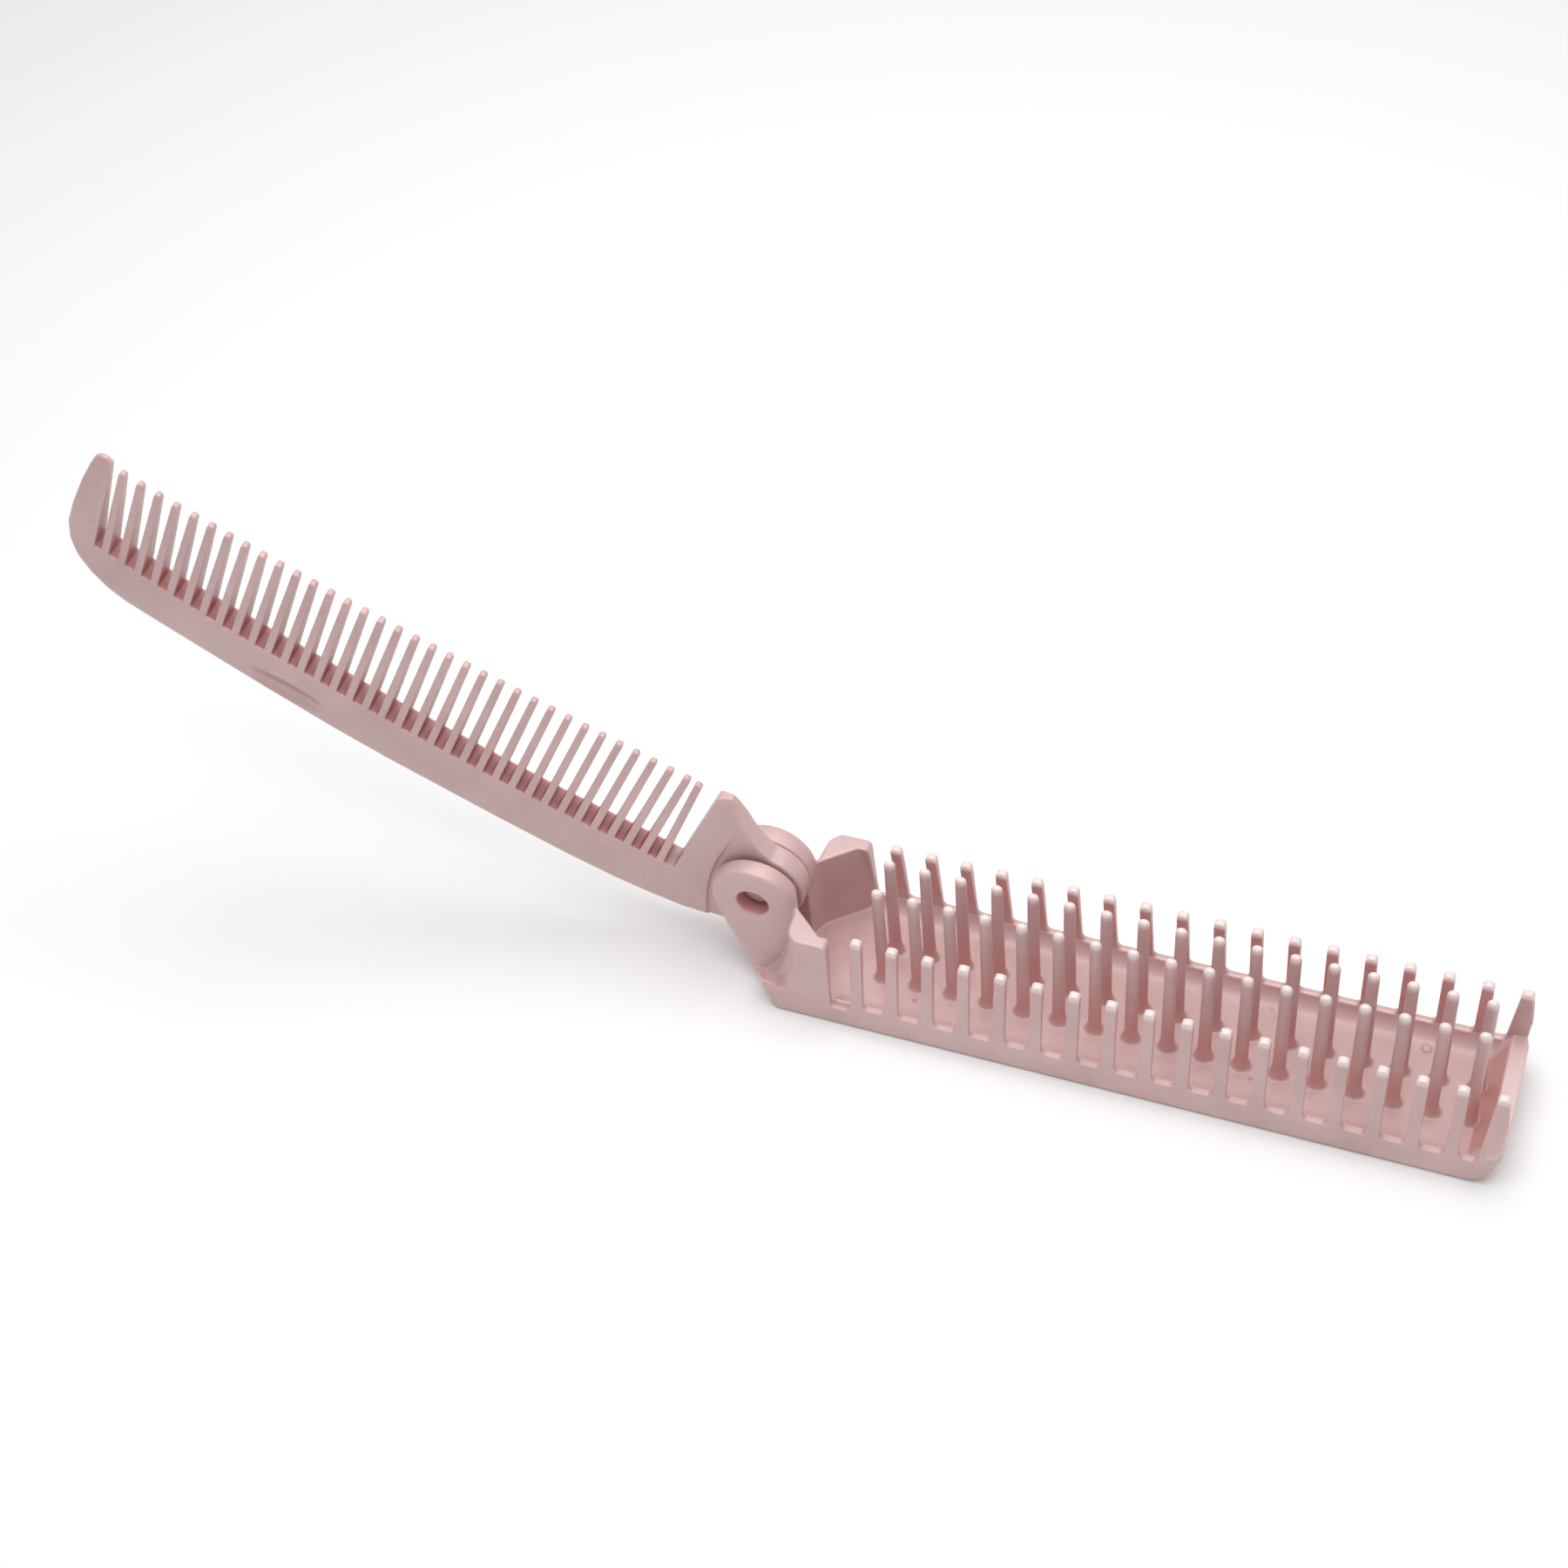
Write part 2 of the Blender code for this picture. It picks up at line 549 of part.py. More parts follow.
def add_notch(bm):
    """The shallow thumb-nail notch on the near side of the back."""
    level = -(BACK_HALF_THICKNESS - 0.1) - NOTCH_RADIUS + NOTCH_DEPTH
    ball = bmesh.ops.create_uvsphere(bm, u_segments=20, v_segments=12, radius=NOTCH_RADIUS)
    bmesh.ops.scale(bm, vec=(NOTCH_STRETCH, 1.0, 1.0), verts=ball["verts"])
    bmesh.ops.translate(bm, vec=(-NOTCH_U, level, NOTCH_V), verts=ball["verts"])


def comb_arm(material):
    """The comb with its teeth, guards, tongue and stub axles, all in one moulding."""
    arm = make_object("comb_arm", comb_blank(), material)
    rounding = arm.modifiers.new("back_edge", "BEVEL")
    rounding.width = BACK_EDGE * MM
    rounding.segments = 3
    rounding.limit_method = "WEIGHT"
    arm.location = (HINGE_X * MM, 0.0, HINGE_Z * MM)
    arm.rotation_euler = (0.0, radians(OPEN_ANGLE), 0.0)

    recesses = bmesh.new()
    for side in (-1, 1):
        add_recess(recesses, side)
    shapes = [("slot_tool", "DIFFERENCE", add_slots), ("axle_tool", "UNION", add_axle),
              ("notch_tool", "DIFFERENCE", add_notch)]
    tools = [("DIFFERENCE", make_tool("recess_tool", recesses))]
    for name, operation, shape in shapes:
        bm = bmesh.new()
        shape(bm)
        tools.append((operation, make_tool(name, bm)))
    for operation, tool in tools:
        tool.parent = arm
        combine(arm, operation, tool)
    return arm


def main():
    for obj in list(bpy.data.objects):
        bpy.data.objects.remove(obj, do_unlink=True)
    brush_arm(moulded_plastic("brush_plastic"))
    comb_arm(moulded_plastic("comb_plastic"))


main()
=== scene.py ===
from math import cos, hypot, radians, sin

import bmesh
import bpy
from mathutils import Matrix, Vector


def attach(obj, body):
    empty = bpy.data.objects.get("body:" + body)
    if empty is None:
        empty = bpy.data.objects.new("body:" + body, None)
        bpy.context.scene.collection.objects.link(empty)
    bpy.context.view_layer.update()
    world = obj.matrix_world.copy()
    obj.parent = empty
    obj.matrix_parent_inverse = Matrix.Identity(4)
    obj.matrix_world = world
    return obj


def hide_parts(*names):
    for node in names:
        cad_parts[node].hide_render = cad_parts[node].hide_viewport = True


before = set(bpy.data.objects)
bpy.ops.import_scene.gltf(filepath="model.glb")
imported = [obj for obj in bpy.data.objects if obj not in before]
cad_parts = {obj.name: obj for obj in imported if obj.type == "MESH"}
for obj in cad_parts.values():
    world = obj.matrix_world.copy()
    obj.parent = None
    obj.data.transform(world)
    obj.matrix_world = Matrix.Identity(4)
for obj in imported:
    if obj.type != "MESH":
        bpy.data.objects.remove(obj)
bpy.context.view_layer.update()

mm = 0.001
scene = bpy.context.scene

# Sizes are in millimetres: +X along the brush from the hinge, +Y across it, +Z up.
hinge = {"x": -16.3, "z": 14.3, "openAngle": 26.0}
hingePlace = Vector((hinge["x"], 0.0, hinge["z"])) * mm


# Colours and nodes

def srgb(hexColour):
    values = [int(hexColour[i:i + 2], 16) / 255.0 for i in (1, 3, 5)]
    linear = [v / 12.92 if v <= 0.04045 else ((v + 0.055) / 1.055) ** 2.4 for v in values]
    return (*linear, 1.0)


def addNode(tree, kind, settings=None, inputs=None):
    node = tree.nodes.new(kind)
    for name, value in (settings or {}).items():
        setattr(node, name, value)
    for name, value in (inputs or {}).items():
        if isinstance(value, bpy.types.NodeSocket):
            tree.links.new(value, node.inputs[name])
        else:
            node.inputs[name].default_value = value
    return node


# Injection-moulded ABS with a satin tool finish. The eye sees a dusty pink with a soft sheen on
# the upper faces and a very fine mould grain; painted shade makes it rosier in the slots, the tray
# and the axle holes, and painted light makes the tips and some walls paler.
plastic = {
    "pinkDeep": "#c6a4a2",
    "pink": "#ceadaa",
    "pinkPale": "#d6b5b2",
    "stops": (0.45, 0.68, 0.95),      # where each of the three stands in the mixed noise
    "ior": 1.54,                      # ABS
    "gloss": 0.9,                     # the moulded skin
    "roughness": 0.42,                # satin tool finish
    "sheenChange": (-0.05, 0.06),     # with the mottle
    "mottleSpan": (0.3, 0.7),         # the part of the mottle noise that changes the sheen
    "flowScale": 9.0,                 # mm, slow colour drift from the melt flow
    "speckScale": 1.2,                # mm, faint mottle of the pigment
    "speckShare": 0.35,               # of the mottle in the colour
    "grainScale": 0.35,               # mm, spark-eroded grain, as coarse as it needs to show
    "grainDepth": 0.012,              # mm
    "grainStrength": 0.5,
    "glow": 1.0,                      # mm, how far red light travels in the plastic
    "glowShare": 0.5,
    "glowReach": (1.0, 0.35, 0.3),    # of red, green and blue
    "paintedSlotShade": "#c47f7c",                # painted shade in narrow slots, for the light that leaves them only after many bounces
    "paintedMildShade": "#d29f9b",                # painted shade like the slots', milder, in the tray, low on the pins, on the inner faces of the rim teeth and the end wall, and in the axle holes
    "paintedWallLight": "#dcc0bd",                # painted light on the end wall's top and low on the rim's inner walls
    "paintedTipHighlight": "#e8d8d4",                # painted highlight on the rim tips and the pin tips
    "markAndNotchShade": "#b98d8b",                # moulding marks and specks, and painted shade on the notch's upper slope
}


def dotOrRing(tree, coords, place, inner, outer):  # 1 between these radii in mm
    softness = (0.6, 1.2)
    middle, half = 0.5 * (inner + outer) * mm, 0.5 * (outer - inner) * mm
    far = addNode(tree, "ShaderNodeVectorMath", {"operation": "DISTANCE"}, {
        0: coords, 1: Vector(place) * mm}).outputs["Value"]
    off = addNode(tree, "ShaderNodeMath", {"operation": "SUBTRACT"}, {
        0: far, 1: middle}).outputs["Value"]
    off = addNode(tree, "ShaderNodeMath", {"operation": "ABSOLUTE"}, {0: off}).outputs["Value"]
    return addNode(tree, "ShaderNodeMapRange", inputs={
        "Value": off, "From Min": softness[0] * half, "From Max": softness[1] * half,
        "To Min": 1.0, "To Max": 0.0}).outputs["Result"]


def zone(tree, *limits):  # 1 where every value has passed its span (0 here, 1 here) in mm
    mask = None
    for value, (start, end) in limits:
        step = addNode(tree, "ShaderNodeMapRange", {"interpolation_type": "SMOOTHSTEP"}, {
            "Value": value, "From Min": start * mm, "From Max": end * mm}).outputs["Result"]
        mask = step if mask is None else addNode(
            tree, "ShaderNodeMath", {"operation": "MULTIPLY"}, {0: mask, 1: step}).outputs["Value"]
    return mask


def hingeDistance(tree, coords):
    flat = addNode(tree, "ShaderNodeVectorMath", {"operation": "MULTIPLY_ADD"}, {
        0: coords, 1: (1.0, 0.0, 1.0), 2: -hingePlace}).outputs["Vector"]
    return addNode(tree, "ShaderNodeVectorMath", {"operation": "LENGTH"}, {
        0: flat}).outputs["Value"]


# Spans of the painted shade and light on the brush arm: each pair is where a painted tint begins
# and where it is full, in mm
brushShades = {
    "axleHole": (2.45, 2.3),        # from the hinge axis
    "tray": (-3.4, -2.6),           # along X, past the gussets
    "pinRows": (4.6, 4.2), "pinFoot": (2.0, 2.6), "pinBelowTop": (13.0, 4.0),
    "pinTip": (19.0, 20.1),
    "rimLean": 0.13,                # mm per mm of height, inward
    "rimRows": (6.4, 6.8), "rimInside": (10.6, 10.3), "rimAboveFoot": (5.9, 7.4),
    "rimTip": (15.2, 16.1), "notCorner": (82.2, 81.6),
    "wallLean": -0.5,               # mm per mm of height, the end wall's inner face, outward
    "wallFront": (80.9, 81.2), "wallBack": (82.0, 81.6), "wallSides": (8.6, 7.8),
    "wallBelowTop": (5.6, 5.0),
    "wallTopX": (84.0, 84.4), "wallTopLow": (5.0, 5.5), "wallTopHigh": (6.4, 6.0),
    "lipY": (7.2, 8.6), "lipInside": (10.5, 10.2), "lipHigh": (4.4, 4.0),
}

# Marks on the tray floor, as (place, inner and outer radius) in mm: an ejector ring and specks,
# which have minus their radius as the inner one
brushMarks = [((73.8, 7.1, 1.5), 0.4, 0.85), ((42.96, 7.88, 1.5), -0.35, 0.35),
              ((52.98, 7.55, 1.5), -0.4, 0.4), ((58.3, 10.2, 3.6), -0.4, 0.4),
              ((52.9, -4.4, 1.5), -0.35, 0.35), ((6.4, -5.0, 1.5), -0.35, 0.35)]


def shadeBrush(tree, coords):  # painted shade inside the tray and low on the pins, painted light on the end wall's top and the rim's inner walls, painted highlight at all tips
    at = brushShades
    axes = addNode(tree, "ShaderNodeSeparateXYZ", inputs={"Vector": coords}).outputs
    x, z = axes["X"], axes["Z"]
    side = addNode(tree, "ShaderNodeMath", {"operation": "ABSOLUTE"}, {
        0: axes["Y"]}).outputs["Value"]
    upRim = addNode(tree, "ShaderNodeMath", {"operation": "MULTIPLY_ADD"}, {
        0: z, 1: at["rimLean"], 2: side}).outputs["Value"]  # constant up a rim tooth
    upWall = addNode(tree, "ShaderNodeMath", {"operation": "MULTIPLY_ADD"}, {
        0: z, 1: at["wallLean"], 2: x}).outputs["Value"]  # constant up the end wall
    pinRows, rimRows, tray = (side, at["pinRows"]), (side, at["rimRows"]), (x, at["tray"])
    shades = [("markAndNotchShade", dotOrRing(tree, coords, *markAndNotchShade)) for markAndNotchShade in brushMarks]
    shades += [
        # painted shade in the axle holes, low on the pins, inside the rim teeth and on the end
        # wall's inner face
        ("paintedMildShade", zone(tree, (hingeDistance(tree, coords), at["axleHole"]))),
        ("paintedMildShade", zone(tree, pinRows, tray, (z, at["pinFoot"]), (z, at["pinBelowTop"]))),
        ("paintedMildShade", zone(tree, rimRows, tray, (upRim, at["rimInside"]), (z, at["rimAboveFoot"]),
                      (x, at["notCorner"]))),
        ("paintedMildShade", zone(tree, (side, at["wallSides"]), (upWall, at["wallFront"]),
                      (upWall, at["wallBack"]), (z, at["wallBelowTop"]))),
        # painted light on the end wall's top and low on the rim's inner walls
        ("paintedWallLight", zone(tree, (x, at["wallTopX"]), (z, at["wallTopLow"]), (z, at["wallTopHigh"]))),
        ("paintedWallLight", zone(tree, tray, (side, at["lipY"]), (upRim, at["lipInside"]),
                      (z, at["lipHigh"]))),
        # painted highlight on the rim tips and the pin tips
        ("paintedTipHighlight", zone(tree, rimRows, tray, (z, at["rimTip"]))),
        ("paintedTipHighlight", zone(tree, pinRows, tray, (z, at["pinTip"]))),
    ]
    return shades


# Spans of the comb arm's painted shade, in mm as above, from the hinge: reach along the comb,
# height across it
combShades = {
    "slotsFrom": (12.0, 13.0), "slotsTo": (101.3, 100.8),
    "faceLean": 0.084,              # mm per mm of height, each face leans inward
    "insideFace": (1.3, 0.95), "aboveFloor": (-8.0, -7.6), "belowTips": (-1.5, -5.0),
    "notchReach": 70.3, "notchHeight": -11.4,
    "notchSquash": 0.2,             # the thumb-nail notch is five times as long as it is high
    "notchEdge": (1.3, 0.8), "nearFace": (-0.8, -1.2),
    "axleEnd": (2.3, 2.2), "pastTongue": (1.7, 2.0),
}


def shadeComb(tree, coords):  # painted shade at the bottom of the slots, on the notch's upper slope and in the axle end
    at = combShades
    turn = radians(hinge["openAngle"])
    along = addNode(tree, "ShaderNodeVectorMath", {"operation": "SUBTRACT"}, {
        0: coords, 1: hingePlace}).outputs["Vector"]
    height = addNode(tree, "ShaderNodeVectorMath", {"operation": "DOT_PRODUCT"}, {
        0: along, 1: (sin(turn), 0.0, cos(turn))}).outputs["Value"]
    reach = addNode(tree, "ShaderNodeVectorMath", {"operation": "DOT_PRODUCT"}, {
        0: along, 1: (-cos(turn), 0.0, sin(turn))}).outputs["Value"]
    y = addNode(tree, "ShaderNodeSeparateXYZ", inputs={"Vector": coords}).outputs["Y"]
    side = addNode(tree, "ShaderNodeMath", {"operation": "ABSOLUTE"}, {0: y}).outputs["Value"]
    upFace = addNode(tree, "ShaderNodeMath", {"operation": "MULTIPLY_ADD"}, {
        0: height, 1: at["faceLean"], 2: side}).outputs["Value"]  # constant up the comb's faces
    alongNotch = addNode(tree, "ShaderNodeMath", {"operation": "MULTIPLY_ADD"}, {
        0: reach, 1: at["notchSquash"],
        2: -at["notchSquash"] * at["notchReach"] * mm}).outputs["Value"]
    acrossNotch = addNode(tree, "ShaderNodeMath", {"operation": "ADD"}, {
        0: height, 1: -at["notchHeight"] * mm}).outputs["Value"]
    notchPlace = addNode(tree, "ShaderNodeCombineXYZ", inputs={
        "X": alongNotch, "Y": acrossNotch}).outputs["Vector"]
    fromNotch = addNode(tree, "ShaderNodeVectorMath", {"operation": "LENGTH"}, {
        0: notchPlace}).outputs["Value"]
    return [
        # painted shade at the bottom of the slots, between the comb's faces
        ("paintedSlotShade", zone(tree, (reach, at["slotsFrom"]), (reach, at["slotsTo"]),
                      (upFace, at["insideFace"]), (height, at["aboveFloor"]),
                      (height, at["belowTips"]))),
        # painted shade on the thumb-nail notch's upper slope
        ("markAndNotchShade", zone(tree, (fromNotch, at["notchEdge"]), (y, at["nearFace"]))),
        # painted shade in the axle end, past the tongue
        ("paintedMildShade", zone(tree, (hingeDistance(tree, coords), at["axleEnd"]),
                      (side, at["pastTongue"]))),
    ]


def satinPlastic(name, shift, shadePiece):  # shift moves the noise, so that no two pieces match
    material = bpy.data.materials.new(name)
    material.use_nodes = True
    tree = material.node_tree
    shader = tree.nodes["Principled BSDF"]
    coords = addNode(tree, "ShaderNodeTexCoord").outputs["Object"]
    place = addNode(tree, "ShaderNodeMapping", inputs={
        "Vector": coords, "Location": (shift, shift, 0.0)}).outputs["Vector"]
    flow = addNode(tree, "ShaderNodeTexNoise", inputs={
        "Vector": place, "Scale": 1.0 / (plastic["flowScale"] * mm), "Detail": 3.0})
    speck = addNode(tree, "ShaderNodeTexNoise", inputs={
        "Vector": place, "Scale": 1.0 / (plastic["speckScale"] * mm), "Detail": 2.0})
    grain = addNode(tree, "ShaderNodeTexNoise", inputs={
        "Vector": place, "Scale": 1.0 / (plastic["grainScale"] * mm), "Detail": 2.0})
    blend = addNode(tree, "ShaderNodeMath", {"operation": "MULTIPLY_ADD"}, {
        0: speck.outputs["Fac"], 1: plastic["speckShare"], 2: flow.outputs["Fac"]})
    ramp = addNode(tree, "ShaderNodeValToRGB", inputs={"Fac": blend.outputs["Value"]})
    stops = ramp.color_ramp
    low, middle, high = plastic["stops"]
    stops.elements[0].position = low
    stops.elements[0].color = srgb(plastic["pinkDeep"])
    stops.elements[1].position = high
    stops.elements[1].color = srgb(plastic["pinkPale"])
    stops.elements.new(middle).color = srgb(plastic["pink"])
    sheen = addNode(tree, "ShaderNodeMapRange", inputs={
        "Value": speck.outputs["Fac"],
        "From Min": plastic["mottleSpan"][0], "From Max": plastic["mottleSpan"][1],
        "To Min": plastic["roughness"] + plastic["sheenChange"][0],
        "To Max": plastic["roughness"] + plastic["sheenChange"][1]})
    bump = addNode(tree, "ShaderNodeBump", inputs={
        "Strength": plastic["grainStrength"], "Distance": plastic["grainDepth"] * mm,
        "Height": grain.outputs["Fac"]})
    colour = ramp.outputs["Color"]
    # the marks and the painted shade, light and highlight are mixed over the base colour
    for shade, mask in shadePiece(tree, coords):
        colour = addNode(tree, "ShaderNodeMix", {"data_type": "RGBA"}, {
            0: mask, 6: colour, 7: srgb(plastic[shade])}).outputs[2]
    tree.links.new(colour, shader.inputs["Base Color"])
    tree.links.new(sheen.outputs["Result"], shader.inputs["Roughness"])
    tree.links.new(bump.outputs["Normal"], shader.inputs["Normal"])
    shader.inputs["IOR"].default_value = plastic["ior"]
    shader.inputs["Specular IOR Level"].default_value = plastic["gloss"]
    shader.inputs["Subsurface Weight"].default_value = plastic["glowShare"]
    shader.inputs["Subsurface Radius"].default_value = plastic["glowReach"]
    shader.inputs["Subsurface Scale"].default_value = plastic["glow"] * mm
    return material


brushPlastic = satinPlastic("satinPinkAbsBrush", 0.0, shadeBrush)
combPlastic = satinPlastic("satinPinkAbsComb", 0.37, shadeComb)
print("plastic made")


# Mesh helpers

def mergedCopy(node):  # the CAD mesh is loose triangles, so its copy is welded
    weldDistance = 0.002
    bm = bmesh.new()
    bm.from_mesh(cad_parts[node].data)
    bmesh.ops.remove_doubles(bm, verts=bm.verts, dist=weldDistance * mm)
    return bm


def asObject(name, bm):
    mesh = bpy.data.meshes.new(name)
    bm.to_mesh(mesh)
    bm.free()
    piece = bpy.data.objects.new(name, mesh)
    scene.collection.objects.link(piece)
    return piece


def shaped(bm, steps):  # a new bmesh: bm after these modifiers
    work = asObject("work", bm)
    for kind, settings in steps:
        modifier = work.modifiers.new(kind, kind)
        for name, value in settings.items():
            setattr(modifier, name, value)
    result = bmesh.new()
    result.from_object(work, bpy.context.evaluated_depsgraph_get())
    bpy.data.objects.remove(work, do_unlink=True)
    return result


def cutAway(bm, cutter):
    tool = asObject("cutter", cutter)
    result = shaped(bm, [("BOOLEAN", {"operation": "DIFFERENCE", "object": tool})])
    bpy.data.objects.remove(tool, do_unlink=True)
    return result


def addBox(bm, low, high):
    cube = bmesh.ops.create_cube(bm, size=1.0)["verts"]
    bmesh.ops.scale(bm, vec=[(b - a) * mm for a, b in zip(low, high)], verts=cube)
    bmesh.ops.translate(bm, vec=[(b + a) * 0.5 * mm for a, b in zip(low, high)], verts=cube)


def addCone(bm, sides, foot, top):  # upright, foot and top are (radius, z)
    cone = bmesh.ops.create_cone(bm, cap_ends=True, segments=sides, radius1=foot[0] * mm,
                                 radius2=top[0] * mm, depth=(top[1] - foot[1]) * mm)["verts"]
    bmesh.ops.translate(bm, vec=(0.0, 0.0, 0.5 * (top[1] + foot[1]) * mm), verts=cone)


def addCopies(bm, shape, places):  # shape is used up
    mesh = bpy.data.meshes.new("copies")
    shape.to_mesh(mesh)
    shape.free()
    last = Vector()
    for place in places:
        mesh.transform(Matrix.Translation((Vector(place) - last) * mm))
        last = Vector(place)
        bm.from_mesh(mesh)
    bpy.data.meshes.remove(mesh)


def bevelled(bm, edges, width, steps):
    bmesh.ops.bevel(bm, geom=edges, offset=width * mm, offset_type="OFFSET", segments=steps,
                    profile=0.5, affect="EDGES", material=-1)


def moulded(bm, finish):  # welds the shapes in bm and rounds all edges, most about the hinge
    bm = shaped(bm, [
        ("REMESH", {"mode": "VOXEL", "voxel_size": finish["voxel"] * mm}),
        ("SMOOTH", {"factor": 0.5, "iterations": finish["rounds"]}),
    ])
    nearHinge = [v for v in bm.verts if hypot(v.co.x / mm - hinge["x"], v.co.z / mm - hinge["z"])
                 < finish["discRadius"]]
    for _ in range(finish["discRounds"]):
        bmesh.ops.smooth_vert(bm, verts=nearHinge, factor=0.5,
                              use_axis_x=True, use_axis_y=True, use_axis_z=True)
    return shaped(bm, [("DECIMATE", {"ratio": finish["share"]})])


# The tongue and the far ear meet in one smooth drum with a hair-fine seam at farGapY
hub = {"radius": 6.2, "sides": 96, "edge": 0.06, "farGapY": 1.64, "halfGap": 0.02,
       "earFillY": 3.0, "tongueFillY": 0.6}


def addDrum(bm, low, high):  # a crisp disc about the hinge, between two levels of y
    drum = bmesh.new()
    bmesh.ops.create_cone(drum, cap_ends=True, segments=hub["sides"], radius1=hub["radius"] * mm,
                          radius2=hub["radius"] * mm, depth=(high - low) * mm)
    rims = [e for e in drum.edges if abs(e.verts[0].co.z - e.verts[1].co.z) < 0.01 * mm]
    bevelled(drum, rims, hub["edge"], 2)
    bmesh.ops.rotate(drum, matrix=Matrix.Rotation(radians(90.0), 3, "X"), verts=drum.verts)
    addCopies(bm, drum, [(hinge["x"], 0.5 * (low + high), hinge["z"])])


def newPiece(name, bm, material, body, node):
    piece = asObject(name, bm)
    piece.data.shade_smooth()
    piece.data.materials.clear()
    piece.data.materials.append(material)
    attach(piece, body)
    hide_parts(node)
    print(name, len(piece.data.polygons), "faces")


# Brush arm: the CAD shape with rounder pins and a filleted tray, welded as one moulding
brushBody = {"voxel": 0.16, "rounds": 5, "share": 0.17, "discRadius": 6.6, "discRounds": 12}
pins = {"count": 17, "pitch": 5.0, "firstX": 1.17, "y": 2.6, "floorZ": 1.5, "footZ": 0.9,
        "tipZ": 20.6, "footHalfX": 0.95, "footHalfY": 0.72, "tipHalfX": 0.80, "dome": 0.62,
        "domeSteps": 5, "sides": 24, "flareHalf": 1.5, "flareTopZ": 3.3}
oldPins = {"low": (-0.6, -4.4), "high": (82.06, 4.4), "above": 0.02, "topZ": 30.0}
trayFillet = {"radius": 2.5, "steps": 6, "wallY": 9.45, "backY": 9.8, "low": -3.6, "high": 83.0}


def pinShape():  # a domed cone on a flared foot, narrower across the brush
    bm = bmesh.new()
    addCone(bm, pins["sides"], (pins["footHalfX"], pins["footZ"]),
            (pins["tipHalfX"], pins["tipZ"]))
    tip = [e for e in bm.edges if min(v.co.z for v in e.verts) > (pins["tipZ"] - 0.01) * mm]
    bevelled(bm, tip, pins["dome"], pins["domeSteps"])
    addCone(bm, pins["sides"], (pins["flareHalf"], pins["footZ"]),
            (pins["footHalfX"], pins["flareTopZ"]))
    bmesh.ops.scale(bm, vec=(1.0, pins["footHalfY"] / pins["footHalfX"], 1.0), verts=bm.verts)
    return bm


def addRails(bm, section, low, high):  # one section (y, z), drawn along X on both sides
    for side in (-1, 1):
        ends = [[bm.verts.new(Vector((x, side * y, z)) * mm) for y, z in section]
                for x in (low, high)]
        faces = [bm.faces.new(end) for end in ends]
        for i in range(len(section)):
            faces.append(bm.faces.new((ends[0][i - 1], ends[0][i], ends[1][i], ends[1][i - 1])))
        bmesh.ops.recalc_face_normals(bm, faces=faces)


def filletSection():  # fills the corner of floor and wall, up to a hollow quarter turn
    radius, footZ = trayFillet["radius"], pins["footZ"]
    centreY, centreZ = trayFillet["wallY"] - radius, pins["floorZ"] + radius
    turns = [radians(90.0 * step / trayFillet["steps"] - 90.0)
             for step in range(trayFillet["steps"] + 1)]
    hollow = [(centreY + radius * cos(turn), centreZ + radius * sin(turn)) for turn in turns]
    return hollow + [(trayFillet["backY"], centreZ), (trayFillet["backY"], footZ),
                     (centreY, footZ)]


cutter = bmesh.new()
addBox(cutter, (*oldPins["low"], pins["floorZ"] + oldPins["above"]),
       (*oldPins["high"], oldPins["topZ"]))
bm = cutAway(mergedCopy("brush_arm"), cutter)
addCopies(bm, pinShape(), [(pins["firstX"] + i * pins["pitch"], side * pins["y"], 0.0)
                           for i in range(pins["count"]) for side in (-1, 1)])
addRails(bm, filletSection(), trayFillet["low"], trayFillet["high"])
addDrum(bm, hub["farGapY"] + hub["halfGap"], hub["earFillY"])
newPiece("brushMoulding", moulded(bm, brushBody), brushPlastic, "brush",
         "brush_arm")


# Comb arm: the CAD shape with the near half of the drum, welded as one moulding
combBody = {"voxel": 0.14, "rounds": 4, "share": 0.19, "discRadius": 6.6, "discRounds": 12}

bm = mergedCopy("comb_arm")
addDrum(bm, hub["tongueFillY"], hub["farGapY"] - hub["halfGap"])
newPiece("combMoulding", moulded(bm, combBody), combPlastic, "comb", "comb_arm")


# Studio: a pale floor, an even cool white room and one broad soft lamp overhead
studio = {"roomColour": "#f6fafe", "roomStrength": 0.44, "floorColour": "#f5f4f3",
          "floorHalf": 900.0, "floorRoughness": 0.8, "lampPlace": (0.0, 40.0, 430.0),
          "lampAim": (0.0, 0.0, 10.0), "lampSize": 500.0, "lampPower": 2.1}

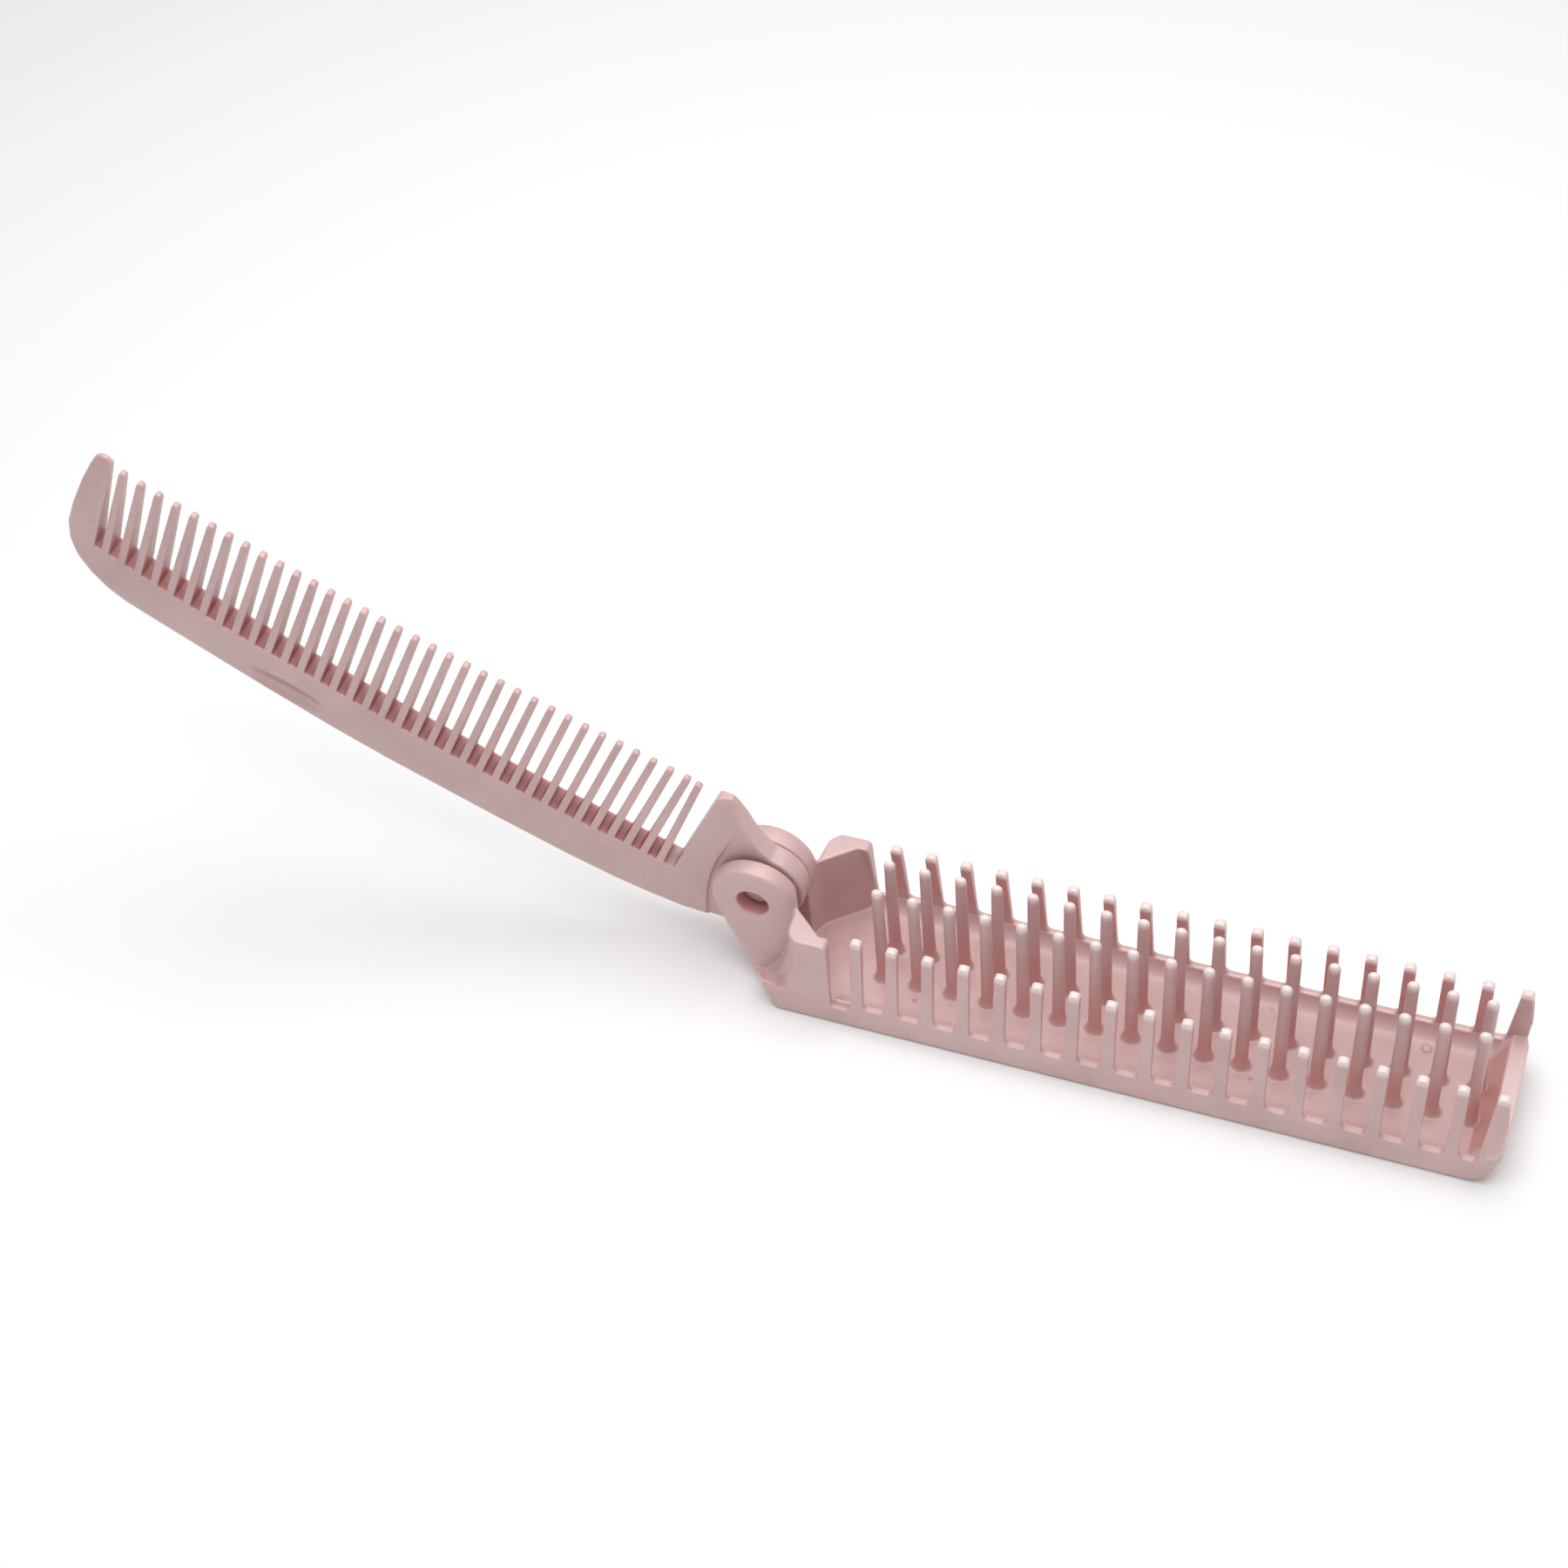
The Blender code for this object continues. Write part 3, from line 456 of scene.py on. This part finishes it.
bm = bmesh.new()
bmesh.ops.create_grid(bm, x_segments=1, y_segments=1, size=studio["floorHalf"] * mm)
floor = asObject("studioFloor", bm)
floorPaint = bpy.data.materials.new("matteFloorPaint")
floorPaint.use_nodes = True
floorShader = floorPaint.node_tree.nodes["Principled BSDF"]
floorShader.inputs["Base Color"].default_value = srgb(studio["floorColour"])
floorShader.inputs["Roughness"].default_value = studio["floorRoughness"]
floor.data.materials.append(floorPaint)

world = bpy.data.worlds.new("studioRoom")
world.use_nodes = True
room = world.node_tree.nodes["Background"]
room.inputs["Color"].default_value = srgb(studio["roomColour"])
room.inputs["Strength"].default_value = studio["roomStrength"]
scene.world = world

lampData = bpy.data.lights.new("softLamp", "AREA")
lampData.size = studio["lampSize"] * mm
lampData.energy = studio["lampPower"]
lamp = bpy.data.objects.new("softLamp", lampData)
lamp.location = Vector(studio["lampPlace"]) * mm
lampWay = (Vector(studio["lampAim"]) - Vector(studio["lampPlace"])).normalized()
lamp.rotation_euler = lampWay.to_track_quat("-Z", "Y").to_euler()
scene.collection.objects.link(lamp)
scene.view_settings.view_transform = "Standard"


# Camera at the photograph's viewing angle; the picture is 1800 by 1800
view = {"place": (86.21, -206.68, 292.40), "azimuth": 25.37, "elevation": 48.33, "roll": -6.86,
        "focal": 3028.43, "centre": (898.98, 898.51), "picture": 1800.0, "sensor": 36.0,
        "nearest": 10.0}

azimuth, elevation, roll = (radians(view[key]) for key in ("azimuth", "elevation", "roll"))
back = Vector((sin(azimuth) * cos(elevation), -cos(azimuth) * cos(elevation), sin(elevation)))
level = (-back).cross(Vector((0.0, 0.0, 1.0))).normalized()
rise = level.cross(-back)
right = level * cos(roll) + rise * sin(roll)
up = rise * cos(roll) - level * sin(roll)
camera = bpy.data.objects.new("camera", bpy.data.cameras.new("camera"))
camera.data.sensor_width = view["sensor"]
camera.data.lens = view["focal"] / view["picture"] * view["sensor"]
camera.data.shift_x = 0.5 - view["centre"][0] / view["picture"]
camera.data.shift_y = view["centre"][1] / view["picture"] - 0.5
camera.data.clip_start = view["nearest"] * mm
camera.matrix_world = (Matrix.Translation(Vector(view["place"]) * mm)
                       @ Matrix((right, up, back)).transposed().to_4x4())
scene.collection.objects.link(camera)
scene.camera = camera
print("studio and camera ready")
